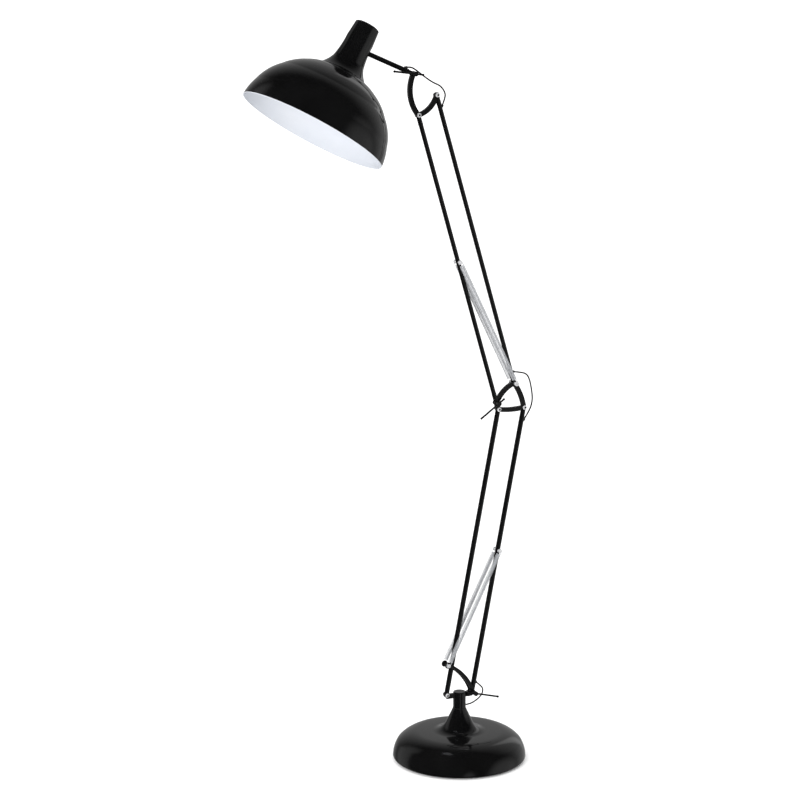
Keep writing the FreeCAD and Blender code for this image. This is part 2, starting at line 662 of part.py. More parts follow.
def elbow_bracket():
    bars = [bracket_bar(ELBOW_LEFT, ELBOW_RIGHT, -3.0),
            bracket_bar(ELBOW_TOP, ELBOW_RIGHT, 4.5),
            bracket_bar(ELBOW_CLAMP, ELBOW_TOP, 7.0),
            straight_bar(ELBOW_LEFT, ELBOW_CLAMP, "bar_width", "-bracket_thick / 2", "bracket_thick / 2")]
    lugs = [lug(p) for p in (ELBOW_LEFT, ELBOW_RIGHT, ELBOW_CLAMP, ELBOW_TOP)]
    bores = [bore_at(ELBOW_LEFT, "pin_radius + moving_gap"), bore_at(ELBOW_RIGHT), bore_at(ELBOW_CLAMP),
             bore_at(ELBOW_TOP, "pin_radius")]
    part("elbow_bracket", cut(fused(*bars, *lugs), *bores))
    side, seat, outside = "upper_fork_radius + moving_gap", "hook_seat + 0.4", "hook_seat + 3.2"
    pin = across("pin_radius", f"-({seat})", seat, *ELBOW_TOP)
    sleeves = [across("stud_radius", side, seat, *ELBOW_TOP),
               across("stud_radius", f"-({seat})", f"-({side})", *ELBOW_TOP)]
    heads = [across("bolt_head_radius", seat, outside, *ELBOW_TOP),
             across("bolt_head_radius", f"-({outside})", f"-({seat})", *ELBOW_TOP)]
    socket = hexagon("2.3", "1.5", (ELBOW_TOP[0], -value(outside), ELBOW_TOP[1]), (0, 1, 0))
    part("elbow_spring_pin", cut(fused(pin, *sleeves, *heads), socket))


def head_bracket():
    bars = [bracket_bar(HEAD_LEFT, HEAD_RIGHT, -9.0), bracket_bar(HEAD_LEFT, HEAD_PIVOT, 15.0)]
    lugs = [lug(p) for p in (HEAD_LEFT, HEAD_RIGHT, HEAD_PIVOT)]
    bores = [bore_at(HEAD_LEFT, "pin_radius + moving_gap"), bore_at(HEAD_RIGHT), bore_at(HEAD_PIVOT)]
    part("head_bracket", cut(fused(*bars, *lugs), *bores))


# ---------------------------------------------------------------- clamp screws and sliding bars

def clamp(name, pivot, face, hub_y, direction, short_end):
    """A clamp screw through a pivot with a sliding bar through its head.

    face is the clamped stack's near face, and the far end has a nut of its own length of thread.
    """
    x, z = pivot
    top = f"{hub_y} - 5.5"
    barrel = across("6", top, f"{hub_y} + 5.5", x, z)
    neck = across("4.5", f"{hub_y} + 5.5", f"{face} - moving_gap", x, z)
    shank = across("pin_radius", f"{face} - moving_gap", f"-({face}) + moving_gap + 5", x, z)
    tip = across("5.2", f"-({face}) + moving_gap", f"-({face}) + moving_gap + 5", x, z)
    slide = cylinder("tommy_radius + running_fit", "40",
                     (x - 20 * direction[0], hub_y, z - 20 * direction[1]), (direction[0], 0, direction[1]))
    part(f"{name}_clamp_screw", cut(fused(barrel, neck, shank, tip), slide))
    start = (x - short_end * direction[0], hub_y, z - short_end * direction[1])
    span = value("tommy_length")
    end = (start[0] + span * direction[0], hub_y, start[2] + span * direction[1])
    bar = cylinder("tommy_radius", "tommy_length", start, (direction[0], 0, direction[1]))
    part(f"{name}_clamp_bar", fused(bar, sphere("tommy_ball", start), sphere("tommy_ball", end)))


def unit(dx, dz):
    size = math.hypot(dx, dz)
    return dx / size, dz / size


def clamps():
    plates = -(value("side_plate_inner") + value("side_plate_thick"))
    fork_face = -value("upper_fork_radius")
    clamp("base", BASE_RIGHT, plates, -20.6, unit(66.6, -17.5), 9.8)
    clamp("elbow", ELBOW_CLAMP, fork_face, -13.0, unit(61.0, 43.0), 60.0)
    clamp("head", HEAD_PIVOT, fork_face, -13.0, unit(-74.6, 8.5), 21.0)


# ---------------------------------------------------------------- springs

def hook(z, outward):
    """A wire hook round a stud on the spring's axis: z is the stud, outward is -1 below or 1 above."""
    bend = doc.addObject("Part::Torus", "HookBend")
    bind(bend, Radius1="hook_ring", Radius2="hook_wire")
    bend.Angle3 = 180
    turn = FreeCAD.Rotation(X_AXIS, 90 if outward > 0 else -90)
    bend.Placement = FreeCAD.Placement(FreeCAD.Vector(0, 0, z), turn)
    stem_start = z if outward < 0 else z - 24
    stem = cylinder("hook_wire", "24", (value("hook_ring"), 0, stem_start))
    tail = cylinder("hook_wire", "5", (-value("hook_ring"), 0, z if outward < 0 else z - 5))
    return [bend, stem, tail]


def spring_pair(label, start, end):
    """Two tension springs, one each side of the arm plane, hooked on studs at both ends."""
    length = math.hypot(end[0] - start[0], end[1] - start[1])
    lean = math.degrees(math.atan2(end[0] - start[0], end[1] - start[1]))
    springs = []
    for side in (-1, 1):
        coil = cut(cylinder("spring_radius", str(length - 40), (0, 0, 20)),
                   cylinder("spring_radius - spring_wall", str(length), (0, 0, 0)))
        spring = fused(coil, *hook(0, -1), *hook(length, 1))
        spring.Placement = at(start[0], side * value("spring_offset"), start[1], lean)
        springs.append(spring)
    part(label, group(*springs))


# ---------------------------------------------------------------- head

def head_rod():
    """The rod from the head pivot into the shade's neck."""
    outer = cylinder("rod_radius", f"rod_length - {FORK_SHORT[0]}", (0, 0, FORK_SHORT[0]))
    inner = cylinder("rod_radius - tube_wall", "rod_length", (0, 0, 0))
    hole = cable_hole(0.0, GROMMET_ROD, False)
    clevis = fork("upper_fork_radius", "rod_radius", FORK_SHORT, bore="pin_radius + running_fit")
    part("head_rod", cut(fused(cut(outer, inner), clevis), hole), ROD_FRAME)
    part("rod_grommet", grommet("rod_radius", 0.0, GROMMET_ROD, False), ROD_FRAME)
    nut = hexagon("10", "5", (0, 0, 138.5))
    part("rod_nut", cut(nut, cylinder("rod_radius", "30", (0, 0, 130))), ROD_FRAME)


def shade_dome():
    turned("shade", [
        ("shade_radius", "0"),
        ("178.5", "46", "185.8", "20"),
        ("142", "107", "164", "79.5"),
        ("97", "143.5", "121.5", "127.5"),
        ("crease_radius", "crease_height", "79", "152.4"),
        ("holder_radius + 0.4", "crease_height"),
        ("holder_radius + 0.4", "crease_height - shade_wall"),
        ("crease_radius - 0.4", "crease_height - shade_wall"),
        ("97 - 0.6", "143.5 - 1.1", "79 - 0.5", "152.4 - 1.2"),
        ("142 - 0.8", "107 - 0.9", "121.5 - 0.7", "127.5 - 1"),
        ("178.5 - 1.15", "46 - 0.3", "164 - 1", "79.5 - 0.7"),
        ("shade_radius - shade_wall", "0", "185.8 - 1.2", "20 - 0.1"),
    ], SHADE_FRAME)


def shade_neck():
    """The flared neck that covers the lamp holder, with a hole for the rod."""
    body = turned("neck_sleeve", [
        ("crease_radius", "crease_height + 0.1"),
        ("40.5", "190", "48.6", "174"),
        ("neck_waist_radius", "neck_waist_height", "36.2", "215"),
        ("neck_end_radius", "neck_end_height"),
        ("neck_end_radius - shade_wall", "neck_end_height"),
        ("neck_waist_radius - shade_wall", "neck_waist_height"),
        ("40.5 - shade_wall", "190", "36.2 - shade_wall", "215"),
        ("crease_radius - 1.4", "crease_height + 0.1", "48.6 - 1", "174 - 0.9"),
    ], SHADE_FRAME)
    parts.remove(body)
    hole = cylinder("rod_radius", "60", (0, 0, 100))
    hole.Placement = ROD_FRAME.multiply(hole.Placement)
    part("shade_neck", cut(body, hole))


def neck_top():
    turned("neck_cap", [
        ("0", "neck_end_height - 22"),
        ("button_radius + 3", "neck_end_height - 22"),
        ("button_radius + 3", "neck_end_height - 4"),
        ("neck_end_radius - shade_wall - 0.1", "neck_end_height - 4"),
        ("neck_end_radius - shade_wall - 0.1", "neck_end_height"),
        ("neck_end_radius", "neck_end_height"),
        ("neck_end_radius - 1", "neck_end_height + 1.6", "neck_end_radius - 0.2", "neck_end_height + 1"),
        ("button_radius + 0.3", "neck_end_height + 2.4"),
        ("button_radius + 0.3", "neck_end_height - 9"),
        ("0", "neck_end_height - 9"),
    ], SHADE_FRAME)
    turned("switch_button", [
        ("0", "neck_end_height - 5.5"),
        ("button_radius", "neck_end_height - 5.5"),
        ("button_radius", "neck_end_height + 4.2"),
        ("button_radius - 1.4", "neck_end_height + 5.4", "button_radius - 0.5", "neck_end_height + 5"),
        ("0", "neck_end_height + 5.9"),
    ], SHADE_FRAME)


def lamp_holder():
    turned("lamp_holder", [
        ("14.2", "118"),
        ("holder_radius", "118"),
        ("holder_radius", "crease_height"),
        ("holder_radius + 3", "crease_height"),
        ("holder_radius + 3", "crease_height + 3"),
        ("holder_radius - 1", "crease_height + 3"),
        ("holder_radius - 3", "196", "holder_radius - 1.2", "182"),
        ("0", "196"),
        ("0", "166"),
        ("14.2", "166"),
    ], SHADE_FRAME)
    turned("holder_ring", [
        ("holder_radius + 0.1", "148"),
        ("holder_radius + 5", "148"),
        ("holder_radius + 5", "crease_height - shade_wall"),
        ("holder_radius + 0.1", "crease_height - shade_wall"),
    ], SHADE_FRAME)
    turned("bulb_cap", [
        ("0", "162"),
        ("6", "162"),
        ("13.2", "156"),
        ("13.2", "132"),
        ("0", "132"),
    ], SHADE_FRAME)
    turned("bulb_glass", [
        ("0", "132"),
        ("13", "132"),
        ("13.6", "117"),
        ("27", "93", "19.4", "105"),
        ("0", "80 - bulb_radius", "26.5", "66"),
    ], SHADE_FRAME)


# ---------------------------------------------------------------- flex

def flex_runs():
    """The stretches inside the tubes, which move with them."""
    lower, upper = value("lower_length"), value("upper_length")
    for label, length, low, high, frame in (
            ("flex_lower", lower, GROMMET_BASE, GROMMET_ELBOW_LOW, LOWER_RIGHT_FRAME),
            ("flex_upper", upper, GROMMET_ELBOW_HIGH, GROMMET_HEAD, UPPER_RIGHT_FRAME)):
        bottom, top = crossing(length, low, False)[0], crossing(length, high, True)[0]
        flex(label, [mouth(length, low, False), (0, 0, bottom), (0, 0, top), mouth(length, high, True)], frame)
    holder = ROD_FRAME.inverse().multVec(SHADE_FRAME.multVec(FreeCAD.Vector(0, 0, 196)))
    start = crossing(0.0, GROMMET_ROD, False)[0]
    flex("flex_head", [mouth(0.0, GROMMET_ROD, False), (0, 0, start), (0, 0, 162), tuple(holder)], ROD_FRAME)


def world(frame, point):
    moved = frame.multVec(FreeCAD.Vector(*point))
    return (moved.x, moved.y, moved.z)


def flex_loops():
    """The free loops at the base, the elbow and the head, each square to the grommets at its ends."""
    lower, upper = value("lower_length"), value("upper_length")

    def at_lower(grommet, far_end, beyond=0.0):
        return world(LOWER_RIGHT_FRAME, mouth(lower, grommet, far_end, beyond))

    def at_upper(grommet, far_end, beyond=0.0):
        return world(UPPER_RIGHT_FRAME, mouth(upper, grommet, far_end, beyond))

    def at_rod(beyond=0.0):
        return world(ROD_FRAME, mouth(0.0, GROMMET_ROD, False, beyond))

    flex("flex_base_loop", [
        (8, 0, 141), (30, 0, 141), (50, 0, 149.5), (65.5, 0, 162), (69.5, 0, 177.5),
        at_lower(GROMMET_BASE, False, 14), at_lower(GROMMET_BASE, False)])
    flex("flex_elbow_loop", [
        at_upper(GROMMET_ELBOW_HIGH, False), at_upper(GROMMET_ELBOW_HIGH, False, 18),
        (189, 0, 1004), (198, 0, 987), (203.5, 0, 962), (207, 0, 936),
        at_lower(GROMMET_ELBOW_LOW, True, 27), at_lower(GROMMET_ELBOW_LOW, True)])
    flex("flex_head_loop", [
        at_rod(), at_rod(10.3), (-126, 0, 1778), (-104, 0, 1762), (-82, 0, 1748.2), (-59.5, 0, 1739.5),
        (-46.5, 0, 1721), at_upper(GROMMET_HEAD, True, 14), at_upper(GROMMET_HEAD, True)])


# ---------------------------------------------------------------- build, check and write

def build():
    base_shell()
    base_inside()
    neck_bush()
    cable_gland()
    spindle()
    lower_bracket()
    spring_arm()
    lower_arms()
    upper_arms()
    elbow_bracket()
    head_bracket()
    clamps()
    spring_pair("lower_springs", SPRING_FOOT, LOWER_MIDDLE)
    spring_pair("upper_springs", ELBOW_TOP, UPPER_MIDDLE)
    head_rod()
    shade_dome()
    shade_neck()
    neck_top()
    lamp_holder()
    flex_runs()
    flex_loops()
    doc.recompute()


def check():
    """Stop if any object failed or any sub-part is empty or invalid."""
    for obj in doc.Objects:
        if "Invalid" in obj.State or "Error" in obj.State:
            raise RuntimeError(f"{obj.Name} ({obj.Label}) failed: {obj.State}")
    for obj in parts:
        if obj.Shape.isNull() or not obj.Shape.isValid() or obj.Shape.Volume <= 0:
            raise RuntimeError(f"{obj.Label} has no valid shape")
    labels = [obj.Label for obj in parts]
    if len(set(labels)) != len(labels):
        raise RuntimeError("two sub-parts share a label")


def write():
    os.makedirs("parts", exist_ok=True)
    for obj in parts:
        obj.Shape.exportStep(f"parts/{obj.Label}.step")
    print(len(parts), "sub-parts written")


build()
check()
write()
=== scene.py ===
import json
import math

import bmesh
import bpy
from mathutils import Matrix, Vector


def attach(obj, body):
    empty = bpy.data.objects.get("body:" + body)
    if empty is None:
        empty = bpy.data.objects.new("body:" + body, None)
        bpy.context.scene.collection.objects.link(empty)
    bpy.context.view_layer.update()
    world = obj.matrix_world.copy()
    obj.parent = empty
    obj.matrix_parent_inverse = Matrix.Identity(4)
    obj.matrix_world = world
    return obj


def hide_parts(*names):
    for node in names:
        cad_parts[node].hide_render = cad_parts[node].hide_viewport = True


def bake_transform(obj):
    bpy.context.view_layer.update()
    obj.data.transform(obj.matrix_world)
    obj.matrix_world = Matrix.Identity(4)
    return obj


# Adjustable-arm floor lamp: its looks, in metres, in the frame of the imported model.
# Profiles and routes are written in millimetres, as the model's own source has them.

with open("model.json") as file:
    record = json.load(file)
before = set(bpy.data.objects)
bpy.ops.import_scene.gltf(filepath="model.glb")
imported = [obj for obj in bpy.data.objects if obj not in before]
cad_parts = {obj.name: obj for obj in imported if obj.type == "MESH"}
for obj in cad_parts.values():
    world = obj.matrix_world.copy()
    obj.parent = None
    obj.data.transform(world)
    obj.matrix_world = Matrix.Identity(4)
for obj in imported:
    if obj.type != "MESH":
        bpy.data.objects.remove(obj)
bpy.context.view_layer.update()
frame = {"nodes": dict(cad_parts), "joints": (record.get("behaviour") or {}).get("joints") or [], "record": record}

MM = 0.001
JOINTS = {joint["name"]: joint for joint in frame["joints"]}
SLOT_OF_NODE = {entry["node"]: entry["material_slot"] for entry in frame["record"]["subparts"]}


# ---------------------------------------------------------------- places

def pivot(joint):
    """Where a joint turns at rest, in metres."""
    return Vector(JOINTS[joint]["pos_m"])


def leaning(origin, lean):
    """A frame at a point whose Z leans about Y from upright, in degrees."""
    return Matrix.Translation(origin) @ Matrix.Rotation(math.radians(lean), 4, "Y")


BASE_LEFT = pivot("lower_left_pivot")
BASE_RIGHT = pivot("lower_arm")
ELBOW_RIGHT = pivot("elbow_level")
ELBOW_CLAMP = pivot("upper_left_pivot")
ELBOW_TOP = pivot("upper_arm")
HEAD_RIGHT = pivot("head_level")
HEAD_PIVOT = pivot("head_tilt")
ELBOW_LEFT = BASE_LEFT + ELBOW_RIGHT - BASE_RIGHT
HEAD_LEFT = ELBOW_CLAMP + HEAD_RIGHT - ELBOW_TOP
SPRING_FOOT = Vector((-38.6, 0, 257)) * MM
RIVET = Vector((23.0, 0, 170.5)) * MM
LOWER_MIDDLE = (BASE_RIGHT + ELBOW_RIGHT) / 2
UPPER_MIDDLE = (ELBOW_CLAMP + HEAD_LEFT) / 2
SHADE_FRAME = leaning(Vector((-403.8, 0, 1636)) * MM, 30.5)
# Half widths of the forks, in millimetres.
LOWER_FORK_FACE = 6.5
UPPER_FORK_FACE = 6.3


# ---------------------------------------------------------------- material nodes

# The part of a noise's range that a colour or a gloss spreads over.
SPREAD_FROM, SPREAD_TO = 0.3, 0.7
# Cells per metre of the slow change of colour and of the uneven gloss.
COLOUR_SCALE = 14.0
GLOSS_SCALE = 60.0
COAT_ROUGHNESS = 0.04


def new_material(name):
    """A material with one shader, and that shader."""
    material = bpy.data.materials.new(name)
    material.use_nodes = True
    nodes = material.node_tree.nodes
    nodes.clear()
    shader = nodes.new("ShaderNodeBsdfPrincipled")
    output = nodes.new("ShaderNodeOutputMaterial")
    material.node_tree.links.new(shader.outputs[0], output.inputs["Surface"])
    return material, shader


def noise(material, scale, detail=4.0):
    """Noise in the object's own metres; scale is in cells per metre."""
    tree = material.node_tree
    coordinates = tree.nodes.new("ShaderNodeTexCoord")
    texture = tree.nodes.new("ShaderNodeTexNoise")
    texture.inputs["Scale"].default_value = scale
    texture.inputs["Detail"].default_value = detail
    tree.links.new(coordinates.outputs["Object"], texture.inputs["Vector"])
    return texture.outputs["Fac"]


def spread_over(material, source, low, high):
    """A grey value from low to high as the source crosses its range."""
    tree = material.node_tree
    spread = tree.nodes.new("ShaderNodeMapRange")
    spread.inputs["From Min"].default_value = SPREAD_FROM
    spread.inputs["From Max"].default_value = SPREAD_TO
    spread.inputs["To Min"].default_value = low
    spread.inputs["To Max"].default_value = high
    tree.links.new(source, spread.inputs["Value"])
    return spread.outputs["Result"]


def colour_between(material, source, dark, light):
    """A colour from dark to light as the source crosses its range."""
    tree = material.node_tree
    ramp = tree.nodes.new("ShaderNodeValToRGB")
    ramp.color_ramp.elements[0].position = SPREAD_FROM
    ramp.color_ramp.elements[1].position = SPREAD_TO
    ramp.color_ramp.elements[0].color = (*dark, 1)
    ramp.color_ramp.elements[1].color = (*light, 1)
    tree.links.new(source, ramp.inputs["Fac"])
    return ramp.outputs["Color"]


def bump(material, shader, source, depth):
    """A relief on the shader that follows the source, this many metres deep."""
    tree = material.node_tree
    relief = tree.nodes.new("ShaderNodeBump")
    relief.inputs["Strength"].default_value = 1.0
    relief.inputs["Distance"].default_value = depth
    tree.links.new(source, relief.inputs["Height"])
    tree.links.new(relief.outputs["Normal"], shader.inputs["Normal"])


def surface(name, dark, light, rough, grain, depth, metallic=0.0, coat=0.0):
    """A material with a slow change of colour, uneven gloss and a fine relief of its grain.

    rough is the least and most roughness, grain the relief's cells per metre, depth its height in metres."""
    material, shader = new_material(name)
    tree = material.node_tree
    slow = noise(material, COLOUR_SCALE)
    fine = noise(material, grain, 3.0)
    tree.links.new(colour_between(material, slow, dark, light), shader.inputs["Base Color"])
    uneven = spread_over(material, noise(material, GLOSS_SCALE), *rough)
    tree.links.new(uneven, shader.inputs["Roughness"])
    shader.inputs["Metallic"].default_value = metallic
    shader.inputs["Coat Weight"].default_value = coat
    shader.inputs["Coat Roughness"].default_value = COAT_ROUGHNESS
    bump(material, shader, fine, depth)
    return material


def gloss_paint():
    """Black enamel over steel, with a faint orange peel."""
    return surface("gloss_black_paint", (0.0022, 0.0022, 0.0023), (0.0034, 0.0034, 0.0035), (0.06, 0.12),
                   grain=420.0, depth=0.000012)


def white_enamel():
    """The baked white lining of the shade."""
    return surface("white_enamel", (0.46, 0.478, 0.515), (0.485, 0.5, 0.53), (0.38, 0.48),
                   grain=500.0, depth=0.00002)


def polished_steel():
    """The bolts, pins and studs."""
    return surface("polished_steel", (0.56, 0.56, 0.57), (0.62, 0.62, 0.63), (0.14, 0.26),
                   grain=2500.0, depth=0.000006, metallic=0.4)


def spring_steel():
    """Bright drawn wire."""
    return surface("spring_steel", (0.50, 0.51, 0.53), (0.54, 0.55, 0.57), (0.18, 0.26),
                   grain=3000.0, depth=0.000006, metallic=0.4)


def zinc():
    """Plated steel, for the hidden plate, screws, spindle and nuts."""
    return surface("zinc_plate", (0.42, 0.42, 0.44), (0.6, 0.6, 0.61), (0.3, 0.45),
                   grain=900.0, depth=0.00002, metallic=1.0)


def cast_iron():
    """The weight in the base."""
    return surface("cast_iron", (0.05, 0.05, 0.05), (0.11, 0.105, 0.1), (0.6, 0.85),
                   grain=350.0, depth=0.0002, metallic=0.7)


def black_plastic():
    """The neck's cap, the button, the lamp holder, the gland and the post's bush."""
    return surface("black_plastic", (0.007, 0.007, 0.0075), (0.012, 0.012, 0.012), (0.22, 0.36),
                   grain=1500.0, depth=0.00003)


def black_rubber():
    """Grommets and the base's pad."""
    return surface("black_rubber", (0.008, 0.008, 0.008), (0.016, 0.016, 0.016), (0.5, 0.7),
                   grain=1200.0, depth=0.00004)


def flex_sheath():
    """The flex's smooth black sheath."""
    return surface("flex_sheath", (0.006, 0.006, 0.0065), (0.012, 0.012, 0.012), (0.28, 0.42),
                   grain=700.0, depth=0.00003)


def cap_metal():
    """The bulb's screw cap."""
    return surface("cap_metal", (0.66, 0.66, 0.66), (0.78, 0.78, 0.77), (0.2, 0.35),
                   grain=1500.0, depth=0.00001, metallic=1.0)


def opal_glass():
    """The bulb's opal envelope."""
    return surface("opal_glass", (0.84, 0.84, 0.82), (0.9, 0.9, 0.89), (0.12, 0.2),
                   grain=300.0, depth=0.000005, coat=0.5)


PAINT = gloss_paint()
ENAMEL = white_enamel()
OF_SLOT = {
    "black_paint": PAINT,
    "bright_steel": polished_steel(),
    "spring_wire": spring_steel(),
    "plain_steel": zinc(),
    "ballast_iron": cast_iron(),
    "black_plastic": black_plastic(),
    "black_rubber": black_rubber(),
    "black_flex": flex_sheath(),
    "bulb_cap_metal": cap_metal(),
    "bulb_white_glass": opal_glass(),
}


# ---------------------------------------------------------------- mesh helpers

def piece(name, mesh, body, slot, nodes=(), material=None):
    """A finished mesh as a piece that rides on a body and stands for CAD nodes."""
    obj = bpy.data.objects.new(name, mesh)
    bpy.context.scene.collection.objects.link(obj)
    mesh.materials.append(material or OF_SLOT[slot])
    if nodes:
        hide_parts(*nodes)
    if body:
        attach(obj, body)
    return obj


def skin(rings, closed=False, capped=False):
    """A mesh of quads over rings that all have the same number of points."""
    made = bmesh.new()
    loops = [[made.verts.new(p) for p in ring] for ring in rings]
    pairs = list(zip(loops, loops[1:]))
    if closed:
        pairs.append((loops[-1], loops[0]))
    for near, far in pairs:
        for i in range(len(near)):
            made.faces.new((near[i - 1], near[i], far[i], far[i - 1]))
    if capped:
        made.faces.new(list(reversed(loops[0])))
        made.faces.new(loops[-1])
    bmesh.ops.recalc_face_normals(made, faces=made.faces)
    return made


def finished(made, name, angle=30.0):
    """The mesh with smooth faces, its edges sharper than the angle kept sharp."""
    mesh = bpy.data.meshes.new(name)
    made.to_mesh(mesh)
    made.free()
    mesh.polygons.foreach_set("use_smooth", [True] * len(mesh.polygons))
    mesh.set_sharp_from_angle(angle=math.radians(angle))
    return mesh


def arc_points(start, through, end, steps):
    """Points after start, up to end, on the circle through three (r, h) points."""
    (ax, ay), (bx, by), (cx, cy) = start, through, end
    double = 2 * (ax * (by - cy) + bx * (cy - ay) + cx * (ay - by))
    squares = [x * x + y * y for x, y in (start, through, end)]
    ux = (squares[0] * (by - cy) + squares[1] * (cy - ay) + squares[2] * (ay - by)) / double
    uy = (squares[0] * (cx - bx) + squares[1] * (ax - cx) + squares[2] * (bx - ax)) / double
    radius = math.hypot(ax - ux, ay - uy)
    first = math.atan2(ay - uy, ax - ux)
    turn = (math.atan2(cy - uy, cx - ux) - first) % (2 * math.pi)
    middle = (math.atan2(by - uy, bx - ux) - first) % (2 * math.pi)
    if middle > turn:
        turn -= 2 * math.pi
    angles = [first + turn * (i + 1) / steps for i in range(steps)]
    return [(ux + radius * math.cos(a), uy + radius * math.sin(a)) for a in angles]


def outline(entries, steps=14):
    """Profile points from entries of (r, h), or (r, h, through_r, through_h) for an arc."""
    points = []
    for i, entry in enumerate(entries):
        before = entries[i - 1][:2]
        if len(entry) == 4:
            points += arc_points(before, entry[2:], entry[:2], steps)
        else:
            points.append(entry[:2])
    return points


def lathed(name, entries, place, sides=160, steps=14, angle=30.0):
    """A closed profile in millimetres turned about its own Z axis."""
    rings = []
    for r, h in outline(entries, steps):
        ring = [Vector((r * math.cos(a), r * math.sin(a), h)) * MM
                for a in (2 * math.pi * i / sides for i in range(sides))]
        rings.append([place @ p for p in ring])
    made = skin(rings, closed=True)
    bmesh.ops.remove_doubles(made, verts=made.verts, dist=1e-6)
    bmesh.ops.dissolve_degenerate(made, edges=made.edges, dist=1e-7)
    return finished(made, name, angle)


def tube_rings(path, radius, sides):
    """Round sections along a path, turned as little as possible from one to the next."""
    tangent = (path[1] - path[0]).normalized()
    side = tangent.orthogonal().normalized()
    rings = []
    for i, point in enumerate(path):
        ahead = path[min(i + 1, len(path) - 1)] - path[max(i - 1, 0)]
        ahead.normalize()
        side = (tangent.rotation_difference(ahead) @ side).normalized()
        side = (side - ahead * side.dot(ahead)).normalized()
        other = ahead.cross(side)
        tangent = ahead
        rings.append([point + (side * math.cos(a) + other * math.sin(a)) * radius
                      for a in (2 * math.pi * k / sides for k in range(sides))])
    return rings


# ---------------------------------------------------------------- base, shade and neck

def base_pieces():
    """The spun shell of the base, with its cone."""
    shell = lathed("base_shell_skin", [
        (147.4, 2.0), (163.6, 2.0), (165.4, 2.6, 164.6, 2.2), (173, 10, 170.6, 5.2), (161, 49, 168.5, 34),
        (108, 75, 138, 67), (73, 76.3), (33.3, 101.9, 49, 83), (17.5, 135), (17.1, 136, 17.45, 135.7),
        (15.8, 136), (15.6, 135.6), (31.3, 101.9), (73, 74.5, 48, 81), (108, 73.2),
        (159.7, 47.7, 137.2, 65.3), (171.2, 10, 166.7, 34), (165, 3.8, 169.2, 6.2), (147.4, 3.8)],
        Matrix(), sides=256, steps=20, angle=50)
    piece("base_shell_skin", shell, "base", "black_paint", ["base_shell"])


def shade_pieces():
    """The dome with its white lining and rim, the neck, the neck's cap and the push button."""
    outer = lathed("shade_outer", [
        (188.0, 1.3, 185.9, 20), (186.8, 1.5), (186.7, 2.4),
        (177.6, 46, 185.0, 20), (141.4, 106.4, 163.2, 79), (96.6, 142.7, 120.9, 126.8),
        (59.9, 157.2, 78.7, 151.7), (20.4, 157.3), (20.4, 158), (60, 158), (97, 143.5, 79, 152.4),
        (142, 107, 121.5, 127.5), (178.5, 46, 164, 79.5)], SHADE_FRAME, sides=256, steps=20, angle=60)
    piece("shade_outer", outer, "head", "black_paint", ["shade"])
    lining = lathed("shade_lining", [
        (186.1, 1.0), (187.0, 0.0, 186.35, 0.25), (187.9, 1.2, 187.7, 0.35), (186.75, 1.4),
        (186.6, 2.4), (177.5, 46, 184.95, 20), (141.3, 106.3, 163.1, 78.9),
        (96.5, 142.6, 120.8, 126.7), (59.8, 157.1, 78.6, 151.6), (20.5, 157.1), (20.5, 156.8),
        (59.6, 156.8), (96.4, 142.4, 78.5, 151.2), (141.2, 106.1, 120.8, 126.5),
        (177.35, 45.7, 163.0, 78.8), (186.2, 1.9, 184.6, 19.9)], SHADE_FRAME, sides=256, steps=20, angle=60)
    piece("shade_lining", lining, "head", "black_paint", ["shade"], ENAMEL)
    neck = lathed("neck_skin", [
        (60.4, 158.15), (61.0, 158.7, 60.9, 158.3), (60.2, 159.4, 60.8, 159.2), (40.5, 190, 48.4, 174),
        (34.6, 248, 36.2, 215), (31.15, 287), (30.8, 288, 31.1, 287.7), (29.9, 288), (29.7, 287.4),
        (33.4, 248), (39.3, 190, 35.0, 215), (58.6, 158.15, 47.6, 173.1)], SHADE_FRAME, sides=192, steps=18,
        angle=55)
    piece("neck_skin", neck, "head", "black_paint", ["shade_neck"])
    cap = lathed("neck_cap_moulding", [
        (0.01, 266), (9.3, 266), (9.3, 284), (29.7, 284), (29.7, 287.6), (29.5, 288.6, 29.65, 288.2),
        (26.0, 290.3, 28.0, 289.9), (12.2, 290.6), (11.4, 289.9, 11.7, 290.5), (10.2, 289.3), (8.6, 289.3),
        (7.9, 290.4), (6.7, 290.2, 7.2, 290.6), (6.6, 279), (0.01, 279)], SHADE_FRAME, sides=96, angle=40)
    piece("neck_cap_moulding", cap, "head", "black_plastic", ["neck_cap"])
    button = lathed("switch_button_cap", [
        (0.01, 282.5), (6.3, 282.5), (6.3, 292.2), (5.4, 293.4, 6.1, 293.1), (4.2, 293.2, 4.9, 293.55),
        (0.01, 292.7, 2.2, 292.8)], SHADE_FRAME, sides=64, angle=40)
    piece("switch_button_cap", button, "switch", "black_plastic", ["switch_button"])


def bulb_pieces():
    """The bulb's globe, and its screw cap with the threads turned in."""
    glass = lathed("bulb_envelope", [
        (0.01, 132), (12.4, 132), (13.0, 131, 12.9, 131.7), (13.6, 117), (27, 93, 19.4, 105),
        (0.01, 50, 26.5, 66)], SHADE_FRAME, sides=96, steps=24, angle=40)
    piece("bulb_envelope", glass, "head", "bulb_white_glass", ["bulb_glass"])
    threads = []
    turns = 6
    low, high = 134.0, 155.0
    for i in range(turns):
        foot = low + (high - low) * i / turns
        threads.append((12.3, foot))
        threads.append((13.15, foot + 1.7, 13.0, foot + 0.6))
        threads.append((12.3, foot + 3.4, 13.0, foot + 2.8))
    cap = lathed("bulb_screw_cap", [
        (0.01, 132), (12.6, 132), *threads, (12.3, 156), (6, 161.2), (4, 162), (0.01, 162)],
        SHADE_FRAME, sides=72, steps=4, angle=50)
    piece("bulb_screw_cap", cap, "head", "bulb_cap_metal", ["bulb_cap"])


# ---------------------------------------------------------------- bolts and nuts

ROUND_SIDES = 48
SOCKET = 2.75
SHANK = 3.0


